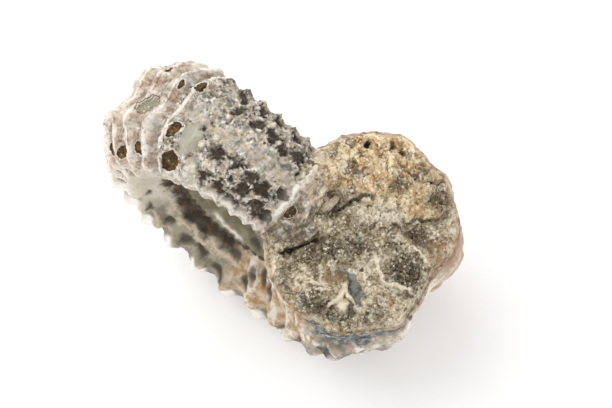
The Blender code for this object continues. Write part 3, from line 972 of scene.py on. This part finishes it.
class Paint:
    """One material's node tree, with the shared effects as short calls."""

    def __init__(self, name, groups):
        self.material = bpy.data.materials.new(name)
        self.material.use_nodes = True
        self.tree = self.material.node_tree
        self.shader = self.tree.nodes["Principled BSDF"]
        self.groups = groups
        coordinates = add_node(self.tree, "ShaderNodeTexCoord")
        mapping = add_node(self.tree, "ShaderNodeMapping", {
            "Vector": coordinates.outputs["Object"], "Scale": (1 / MM, 1 / MM, 1 / MM)})
        self.place = mapping.outputs[0]

    def attributes(self, *names):
        nodes = [add_node(self.tree, "ShaderNodeAttribute", attribute_name=name) for name in names]
        return [Field(self.tree, node.outputs["Fac"]) for node in nodes]

    def effect(self, group, place=None, **values):
        inputs = {"Place": place or self.place, **values}
        return add_node(self.tree, "ShaderNodeGroup", inputs, node_tree=self.groups[group]).outputs

    def flecks(self, size, amount, seed):
        out = self.effect("flecks", Size=size, Amount=amount, Seed=seed)
        return Field(self.tree, out["Mask"]), Field(self.tree, out["Random"])

    def stain(self, size, amount, seed, place=None):
        return Field(self.tree, self.effect("stain", place, Size=size, Amount=amount, Seed=seed)["Mask"])

    def over(self, base, colour, share):
        return Coat(self, base).over(colour, share)

    def mottled(self, base, *stains):
        return Coat(self, base).mottled(*stains)

    def finish(self, colour, roughness, **grain):
        """The colour, roughness and fine grain go into a matt Principled BSDF."""
        normal = self.effect("grain", **grain)["Normal"]
        finish = {"Base Color": colour.colour, "Roughness": roughness, "Normal": normal,
                  "Specular IOR Level": SHEEN}
        for slot, value in finish.items():
            plug(self.tree, value, self.shader.inputs[slot])
        return self.material


CREAM, WHITE, SAND = (0.66, 0.54, 0.40), (0.90, 0.84, 0.75), (0.53, 0.40, 0.25)
PINK_TAN, BROWN, RUST = (0.42, 0.26, 0.17), (0.13, 0.070, 0.034), (0.46, 0.18, 0.05)
CHARCOAL, GREY, PALE_GREY = (0.030, 0.028, 0.025), (0.19, 0.18, 0.155), (0.42, 0.425, 0.40)
GREENISH, BLUE_GREY, OLIVE = (0.38, 0.365, 0.28), (0.12, 0.14, 0.15), (0.15, 0.13, 0.078)
# The dark brown below is painted shade in pits, gaps, hollows and the coil's seam, and also the colour of
# dark specks.
AMBER, SHADE_AND_SPECK_BROWN, SHEEN = (0.25, 0.14, 0.04), (0.050, 0.034, 0.018), 0.25
# Azimuths between which stretches of the shell begin: the flaked band, the stretch beside
# the break, the seam where the last whorl starts, and the smooth inner whorls.
FLAKED_BAND, BESIDE_BREAK, SEAM, SMOOTH_WHORLS = (-224, -234), (-40, -20), (-287.5, -289), (-330, -345)


def stone_colour(paint, hole):
    """The grey and cream stone that shows where the shell is gone, with its dark hollows."""
    colour = paint.mottled(GREY, (PALE_GREY, 1.5, 0.56, 1, 1),
        (BLUE_GREY, 1.1, 0.44, 4, 0.7), (CREAM, 0.8, 0.48, 2, 0.85), (CHARCOAL, 1, 0.42, 3, 0.75),
        (WHITE, 0.8, 0.38, 9, 0.85), (SAND, 0.6, 0.36, 31, 0.75))
    dark = paint.mottled(CHARCOAL, ((0.080, 0.060, 0.048), 0.6, 0.5, 5, 1),
        (GREY, 0.5, 0.34, 46, 0.7))
    colour.over(dark, hole * 0.96)
    pale, lot = paint.flecks(0.36, 0.26, 6)
    colour.over(WHITE, pale * (0.15 + lot * 0.8) * (1 - hole * 0.8))
    deep, lot = paint.flecks(0.34, 0.30, 7)
    return colour.over(CHARCOAL, deep * (0.2 + lot * 0.75) * (1 - hole * 0.3))


def shell_colour(paint, crest, ridge, azimuth, angle, growth_lines, near):
    """The cream shell, with pink and tan streaks along it, brown stains partly painted as shade beside the
    ridges, and painted shade between the ribs and in the dark hollows between far ribs.
    """
    off_mid = angle.calc("ABSOLUTE")
    far = ramp(azimuth, -198, -180)
    along = vector(paint.tree, azimuth / 16, angle / 11, 0)
    colour = paint.over(CREAM, WHITE, paint.stain(1.9, 0.52, 11))
    colour.over(PINK_TAN, paint.stain(1, 0.42, 12, along) * 0.75)
    colour.over(SAND, growth_lines * 0.5)
    first = hump(azimuth, -223, 5)
    colour.over((0.30, 0.33, 0.33), first * paint.stain(0.9, 0.46, 47) * 0.8)
    colour.over((0.52, 0.52, 0.49), paint.stain(1.2, 0.46, 13) * 0.7)
    # Painted shade: a darker brown-grey in the hollows between ribs, broken up by a stain.
    between = ramp(crest, 0.45, 0.05) * paint.stain(1, 0.52, 32)
    colour.over((0.22, 0.185, 0.14), between * 0.8)
    colour.over((0.30, 0.17, 0.095), paint.stain(0.8, 0.36, 65, along) * 0.8)
    # Brown beside each ridge: partly brown staining, partly painted shade along the ridge's sides.
    ridge_side_stain_and_shade = hump(ridge, 0.25, 0.16) * paint.stain(1.1, 0.48, 48)
    colour.over(BROWN, ridge_side_stain_and_shade * 0.85)
    colour.over(BROWN, paint.stain(1.2, 0.28, 16) * 0.65)
    # Painted shade: olive in the hollows between the far ribs.
    far_hollow_shade = ramp(crest, 0.55, 0.12) * (1 - near) * (0.45 + 0.5 * paint.stain(2, 0.6, 14))
    colour.over(OLIVE, far_hollow_shade * ramp(off_mid, 12, 30) * far)
    colour.over(WHITE, ramp(ridge, 0.1, 0.8) * 0.9 * paint.stain(1.2, 0.50, 10))
    colour.over(WHITE, ramp(crest, 0.4, 0.9) * paint.stain(1.6, 0.50, 52) * 0.7)
    colour.over(WHITE, ramp(crest, 0.6, 0.95) * far * 0.6)
    fine, lot = paint.flecks(0.32, 0.20, 33)
    colour.over(BROWN, fine * lot * 0.5)
    return colour.over(BROWN, paint.stain(0.6, 0.24, 15) * 0.6)


def hollow_colour(paint, crest, oval, azimuth, off_mid):
    """The open coils at the sides: a smooth olive wall, darkened in part as painted shade, with painted shade
    where it meets the next whorl, a trough in brown and near-black painted shade, dark ovals of painted
    shade, and pale wavy ridges.
    """
    inner = ramp(azimuth, *SMOOTH_WHORLS)
    # Partly olive-grey stone, partly painted shade: the wall is kept dark for the deep hollow of the coil.
    wall = paint.mottled((0.15, 0.14, 0.092), ((0.29, 0.265, 0.185), 2.4, 0.50, 26, 1),
        (OLIVE, 1.6, 0.42, 27, 0.7), ((0.30, 0.19, 0.10), 1.2, 0.34, 49, 0.6))
    strip = hump(off_mid + azimuth * 0.25, -4, 6) * ramp(azimuth, -475, -462)
    strip = strip * ramp(azimuth, -426, -434) * (0.5 + 0.5 * paint.stain(1.6, 0.6, 66))
    wall.over(WHITE, strip * 0.9)
    # Painted shade where the wall meets the next whorl.
    wall.over(SHADE_AND_SPECK_BROWN, ramp(off_mid, 97, 91) * 0.9)
    lines = crest * 3 + (paint.stain(3.4, 0.5, 50) - 0.5) * 9.0
    flank = paint.over((0.36, 0.32, 0.24), (0.20, 0.185, 0.14), paint.stain(1.8, 0.50, 51))
    ridges = hump(off_mid - lines, 96, 5.5).calc("MAXIMUM", hump(off_mid - lines, 120, 3.6))
    flank.over(CREAM, ridges * (0.35 + 0.6 * paint.stain(2.2, 0.62, 54)))
    flank.over((0.74, 0.68, 0.58), ramp(azimuth, -128, -152) * 0.75)
    # Painted shade: the trough on the umbilical wall is near black and brown.
    trough = ramp(off_mid - lines, 124, 133) * ramp(azimuth, -62, -76)
    deep = paint.over((0.026, 0.019, 0.010), (0.14, 0.066, 0.027), paint.stain(1.8, 0.34, 34))
    flank.over(deep, trough * 0.95)
    orange = paint.over(CREAM, (0.42, 0.23, 0.10), paint.stain(1.2, 0.50, 35))
    bars = ramp(crest, 0.3, 0.7) * ramp(azimuth, -78, -62)
    rusty = ramp(azimuth, -80, -66) * (0.35 + 0.6 * paint.stain(1.6, 0.62, 53))
    flank.over(orange, rusty)
    flank.over((0.90, 0.84, 0.74), bars * paint.stain(1.4, 0.5, 73) * 0.8)
    colour = paint.over(flank, wall, inner)
    # Dark ovals between the lobes, over shallow dents: painted shade.
    return colour.over((0.036, 0.030, 0.020), oval * 0.88)


def band_colours(paint, colour, crest, azimuth, angle, growth_lines, near):
    """The groove along the rim, a painted highlight along the edge of the open side, and the stretch beside
    the face, darker in part with painted shade.
    """
    groove = hump(angle, -1, 9) * near * paint.stain(1.3, 0.66, 17)
    sandy = paint.mottled(CREAM, (SAND, 0.7, 0.5, 18, 1),
        (PALE_GREY, 0.7, 0.5, 19, 1), (GREY, 0.6, 0.30, 36, 0.8))
    colour.over(sandy, groove * 0.85)
    # Painted highlight: a pale line along the shoulder at the edge of the open side.
    shoulder = hump(angle, 77, 9) * near * (0.35 + 0.65 * paint.stain(1.2, 0.62, 20))
    colour.over(WHITE, shoulder * 0.95)
    late = ramp(azimuth, *BESIDE_BREAK)
    # Darker pinkish brown and grey on this side of the stretch beside the break: partly the shell's own
    # colour, partly painted shade on the lower side.
    flank_tone_and_shade = paint.over((0.34, 0.27, 0.20), (0.17, 0.155, 0.13), paint.stain(1.2, 0.46, 74))
    colour.over(flank_tone_and_shade, late * ramp(angle, 18, 34) * paint.stain(1.6, 0.56, 75) * 0.75)
    valley = ramp(crest, 0.6, 0.2) * late * ramp(angle, 18, 34)
    valley_stone = paint.over((0.135, 0.14, 0.135), PALE_GREY, paint.stain(0.7, 0.42, 37))
    colour.over(valley_stone, valley * (0.5 + 0.5 * paint.stain(0.8, 0.6, 21)))
    flank = late * ramp(angle, -8, -26) * (0.35 + 0.55 * paint.stain(1.6, 0.6, 22))
    colour.over(PINK_TAN, flank * 0.85)
    seam = ramp(azimuth, *SEAM) * ramp(azimuth, -330, -320)
    striped = paint.over((0.17, 0.14, 0.10), (0.33, 0.27, 0.19), growth_lines)
    striped.over((0.08, 0.065, 0.045), paint.stain(1.2, 0.44, 29) * 0.8)
    striped.over(CREAM, ramp(angle, 12, -6) * (0.4 + 0.5 * growth_lines))
    striped.mottled((WHITE, 0.9, 0.34, 57, 0.75),
        (CHARCOAL, 0.8, 0.36, 58, 0.75), (SAND, 0.6, 0.34, 59, 0.7))
    colour.over(striped, seam * 0.95)
    wall = hump(azimuth, -287.6, 1.35) * ramp(angle, 70, 40)
    colour.over(WHITE, wall * 0.85)


def lone_marks(paint, colour, azimuth, angle, plate, brown, eye):
    """The smooth plate, pits with a pale outline, and the two ringed eyes."""
    chalky = paint.over(GREENISH, WHITE, ramp(angle, 40, 50) * (0.1 + 0.7 * paint.stain(0.8, 0.46, 67)))
    colour.over(chalky, plate * (0.75 + 0.2 * paint.stain(1, 0.5, 23)))
    outline = ramp(brown, 0.02, 0.18) * ramp(brown, 0.55, 0.3)
    pit = paint.over((0.050, 0.030, 0.017), AMBER, ramp(brown, 0.6, 1) * paint.stain(0.7, 0.56, 24))
    glint, lot = paint.flecks(0.26, 0.22, 68)
    pit.over((0.55, 0.45, 0.30), glint * lot * 0.8)
    colour.over(pit, ramp(brown, 0.35, 0.6))
    colour.over(WHITE, outline * 0.8)
    ring = paint.over(BROWN, (0.40, 0.17, 0.07), paint.stain(0.6, 0.5, 38))
    colour.over(ring, ramp(eye, 0.02, 0.2) * 0.9)
    colour.over(WHITE, ramp(eye, 0.45, 0.6) * ramp(eye, 0.85, 0.7) * 0.8)
    glass = paint.over((0.30, 0.30, 0.22), WHITE, glint * 0.5)
    glass.over(pit, ramp(azimuth, -260, -280))
    colour.over(glass, ramp(eye, 0.72, 0.92) * 0.9)


def shell_material(groups):
    """Flaked shell over dark stone, with stained knobs, a sandy groove, and inner coils darkened in part as
    painted shade.
    """
    paint = Paint("weathered_shell", groups)
    cover, crest, ridge = paint.attributes("cover", "crest", "ridge")
    azimuth, angle, to_break, lip = paint.attributes("azimuth", "angle", "to_break", "lip")
    plate, brown, eye, lump, slate = paint.attributes("plate", "brown", "eye", "lump", "slate")
    hole, oval, pits, layers = paint.attributes("hole", "oval", "pits", "layers")
    off_mid = angle.calc("ABSOLUTE")
    near = ramp(azimuth, *FLAKED_BAND)
    growth_lines = paint.stain(1, 0.5, 8, vector(paint.tree, azimuth * 1.4, angle / 50, 0))

    shell = shell_colour(paint, crest, ridge, azimuth, angle, growth_lines, near)
    colour = paint.over(stone_colour(paint, hole), shell, cover * (1 - hole * near))

    band_colours(paint, colour, crest, azimuth, angle, growth_lines, near)
    colour.over(WHITE, ramp(layers, 0.08, 0.24) * 0.85)
    lone_marks(paint, colour, azimuth, angle, plate, brown, eye)
    slaty = paint.over((0.045, 0.053, 0.056), (0.30, 0.33, 0.33), paint.stain(0.7, 0.40, 56))
    colour.over(slaty, slate * 0.92)
    dark_lump = paint.over((0.07, 0.068, 0.058), GREY, paint.stain(0.8, 0.4, 45))
    colour.over(dark_lump, lump * 0.9)
    rust, _ = paint.flecks(0.34, 0.02, 25)
    colour.over(RUST, rust * 0.5)

    # The far lobes with painted shade between them, the open coils darkened in part as painted shade, then
    # painted shade in the pits, and the broken edge as a thin pale line.
    # Painted shade: the far lobes stay pale on their knobs and turn grey in the valleys between them.
    outer = hump(off_mid, 84, 14) * ramp(azimuth, -172, -150) * ramp(azimuth, -40, -60)
    lobe_and_valley_shade = paint.over((0.30, 0.28, 0.235), (0.95, 0.91, 0.85), ramp(crest, 0.15, 0.6))
    colour.over(lobe_and_valley_shade, outer * 0.95)
    inner = ramp(off_mid, 90, 100).calc("MAXIMUM", ramp(azimuth, -318, -332))
    colour.over(hollow_colour(paint, crest, oval, azimuth, off_mid), inner * 0.96)
    colour.over(SHADE_AND_SPECK_BROWN, ramp(pits, 0.08, 0.36) * 0.75 * (1 - plate * 0.8))
    edge = ramp(to_break, 0.5, 0.1).calc("MAXIMUM", lip) * paint.stain(0.8, 0.56, 30)
    colour.over(CREAM, edge * 0.8)
    colour.over(BROWN, ramp(to_break, 1.5, 0.5) * paint.stain(0.8, 0.38, 69) * 0.8)
    return paint.finish(colour, 0.80 - plate * 0.3, Size=0.28, Strength=0.7, Seed=28)


def face_material(groups):
    """Sugary calcite and stone: tan above the ledge, grey and olive below it."""
    paint = Paint("broken_stone", groups)
    tan, pale, cream, dark, sugar = paint.attributes("tan", "pale", "cream", "dark", "sugar")
    blue, pink, olive, rusty = paint.attributes("blue", "pink", "olive", "rust")
    gap, tone, hue, rim = paint.attributes("gap", "tone", "hue", "rim")

    low = paint.over((0.46, 0.365, 0.22), (0.74, 0.64, 0.46), ramp(hue, 0.35, 0.62))
    low.mottled(((0.21, 0.15, 0.075), 1.5, 0.42, 32, 0.85),
        ((0.88, 0.81, 0.65), 1.1, 0.34, 42, 0.8), ((0.15, 0.108, 0.052), 0.6, 0.34, 61, 0.8),
        ((0.88, 0.83, 0.71), 0.5, 0.34, 62, 0.8))
    high = paint.over((0.66, 0.42, 0.18), (0.90, 0.72, 0.44), ramp(hue, 0.35, 0.62))
    high.mottled(((0.40, 0.215, 0.07), 1.2, 0.42, 34, 0.85),
        ((0.88, 0.80, 0.64), 1, 0.36, 43, 0.85), ((0.30, 0.165, 0.06), 0.55, 0.32, 63, 0.75),
        ((0.92, 0.86, 0.72), 0.5, 0.32, 64, 0.8))
    colour = paint.over(low, high, tan.calc("MINIMUM", 1))
    colour.over((0.31, 0.245, 0.12), olive * (0.4 + 0.5 * paint.stain(0.9, 0.6, 35)))
    sugary = sugar.calc("MINIMUM", 1)
    ground = paint.over((0.19, 0.148, 0.085), (0.062, 0.046, 0.026), paint.stain(0.8, 0.5, 36))
    colour.over(ground, sugary * 0.8)
    white_patch = pale.calc("MINIMUM", 1) * (0.4 + 0.6 * paint.stain(1, 0.6, 37))
    colour.over((0.74, 0.67, 0.52), white_patch)
    rosy = ramp(pink, 0.1, 0.7) * (0.65 + 0.3 * paint.stain(0.7, 0.5, 60))
    colour.over((0.31, 0.205, 0.115), rosy)

    # Each crystal grain has its own tone; the brightest are painted near white, partly pale crystals and
    # partly painted glints, most where it is sugary.
    plain = 1 - (cream + blue + pink * 0.5).calc("MINIMUM", 1) * 0.8
    colour.over((0.13, 0.09, 0.045), ramp(tone, 0.38, -0.50) * 0.85 * plain)
    pale_and_glinting_grains = ramp(tone, 0.78, 1.45) * (0.5 + sugary * 0.4) * plain
    colour.over((0.90, 0.83, 0.67), pale_and_glinting_grains)
    slaty = paint.over((0.30, 0.30, 0.26), (0.12, 0.13, 0.13), paint.stain(0.6, 0.46, 70))
    colour.over(slaty, ramp(blue, 0.35, 0.65) * 0.9)
    colour.over((0.80, 0.71, 0.56), ramp(cream, 0.35, 0.75) * 0.9)
    # Painted shade in the face's hollows, with a few dark marks of the stone.
    colour.over(SHADE_AND_SPECK_BROWN, ramp(dark, 0.15, 1) * 0.85)
    orange, lot = paint.flecks(0.32, 0.07, 38)
    colour.over(RUST, orange * lot * 0.6 * (0.3 + tan * 0.7))
    colour.over(RUST, rusty.calc("MINIMUM", 1) * 0.75 * paint.stain(0.5, 0.55, 44))
    # Painted glints: small near-white sparkles on the grains.
    spark, lot = paint.flecks(0.24, 0.12, 39)
    colour.over((0.93, 0.89, 0.80), spark * (0.3 + 0.6 * lot) * (1 - dark * 0.5) * plain)
    speck, lot = paint.flecks(0.28, 0.16, 41)
    colour.over(SHADE_AND_SPECK_BROWN, speck * lot * 0.8 * plain)
    # Painted shade in the gaps between grains and in low spots.
    colour.over(SHADE_AND_SPECK_BROWN, ramp(gap, 0.25, 0.95) * 0.55)
    colour.over(CREAM, rim * 0.5 * paint.stain(0.8, 0.5, 71))
    colour.over(RUST, ramp(rim, 0.3, 0.8) * 0.6 * paint.stain(0.9, 0.30, 72))
    return paint.finish(colour, 0.50 + 0.25 * dark, Size=0.20, Strength=0.7, Seed=40)


def floor_material(groups):
    """Plain pale card."""
    paint = Paint("pale_card", groups)
    card = paint.over((0.95, 0.95, 0.95), (0.97, 0.97, 0.97), paint.stain(40, 0.5, 52))
    return paint.finish(card, 0.9, Size=0.6, Strength=0.02, Seed=51)


# --- Studio -----------------------------------------------------------------------------
# The camera: its distance and tilt off the coil's plane, roll, and picture scale.
CAMERA_DISTANCE, CAMERA_TILT, CAMERA_ROLL = 150.0, 14.0, 36.0
PICTURE_WIDTH, PIXELS_PER_MM = 612, 8.05
AIM = (6.64, 2.67)
SENSOR, FLOOR_SIZE = 36.0, 3.0
# Lights, as the camera sees them: place (right, up, back), size and power.
LIGHTS = {"key": ((-160, 180, 200), 320, 0.42), "fill": ((220, -160, 200), 200, 0.08)}


def picture_axes():
    """Right, up and towards the camera, as it sees the fossil."""
    tilt, roll = math.radians(CAMERA_TILT), math.radians(CAMERA_ROLL)
    across = rest_vector(1, 0, 0)
    up = rest_vector(0, math.cos(tilt), math.sin(tilt))
    back = rest_vector(0, -math.sin(tilt), math.cos(tilt))
    right = across * math.cos(roll) + up * math.sin(roll)
    upright = up * math.cos(roll) - across * math.sin(roll)
    return right, upright, back, Vector(AXIS) + across * AIM[0] + up * AIM[1]


def add_camera():
    """Looks straight at the break, a little above the coil's plane on its open side."""
    right, upright, back, target = picture_axes()
    data = bpy.data.cameras.new("camera")
    data.sensor_width = SENSOR
    data.lens = SENSOR * PIXELS_PER_MM * CAMERA_DISTANCE / PICTURE_WIDTH
    data.clip_start, data.clip_end = 1 * MM, 5000 * MM
    camera = bpy.data.objects.new("camera", data)
    turn = Matrix((right, upright, back)).transposed()
    camera.matrix_world = Matrix.Translation((target + back * CAMERA_DISTANCE) * MM) @ turn.to_4x4()
    bpy.context.scene.collection.objects.link(camera)
    bpy.context.scene.camera = camera


def add_soft_light(name, place, size, power):
    """A large round light that faces the fossil."""
    right, upright, back, target = picture_axes()
    offset = right * place[0] + upright * place[1] + back * place[2]
    data = bpy.data.lights.new(name, "AREA")
    data.shape = "DISK"
    data.size = size * MM
    data.energy = power
    light = bpy.data.objects.new(name, data)
    light.location = (target + offset) * MM
    light.rotation_euler = (offset * -1).to_track_quat("-Z", "Y").to_euler()
    bpy.context.scene.collection.objects.link(light)


def add_studio(material):
    """Pale floor, even white surroundings and soft lights."""
    bpy.ops.mesh.primitive_plane_add(size=FLOOR_SIZE)
    floor = bpy.context.object
    floor.name = "studio_floor"
    floor.data.materials.append(material)
    world = bpy.data.worlds.new("studio")
    world.use_nodes = True
    background = world.node_tree.nodes["Background"]
    background.inputs["Color"].default_value = (1, 1, 1, 1)
    background.inputs["Strength"].default_value = 1
    bpy.context.scene.world = world
    bpy.context.scene.view_settings.view_transform = "Standard"
    for name, (place, size, power) in LIGHTS.items():
        add_soft_light(name, place, size, power)


# Stretches of the shell, finest where it shows: start, end, columns and rows.
STRETCHES = {
    "inner_whorls": (-1296.0, -306.0, 560, 84),
    "near_band": (-309.0, -168.0, 330, 282),
    "back_of_whorl": (-171.0, -22.0, 220, 180),
    "last_whorl": (-25.0, 0.0, 320, 286),
}


def main():
    groups = {"flecks": fleck_group(), "stain": stain_group(), "grain": grain_group()}
    shell_look, face_look = shell_material(groups), face_material(groups)
    coil = coil_tree()
    empty = bpy.data.meshes.new("empty")
    pieces = {}
    for name, (start, end, columns, rows) in STRETCHES.items():
        pieces[name] = grow(name, coil, empty, {
            "Material": shell_look, "Start azimuth": start, "End azimuth": end, "Columns": columns,
            "Rows": rows, "Broken": 1.0 if name == "last_whorl" else 0.0})
    pieces["first_chamber"] = build_first_chamber(shell_look)
    face = build_face(pieces["last_whorl"], face_look)
    pieces["face"] = face
    pieces["crystals"] = grow("crystals", crystal_tree(), face.data, {"Material": face_look})
    for piece in pieces.values():
        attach(piece, "root")
    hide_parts("ammonite")
    add_camera()
    add_studio(floor_material(groups))


main()
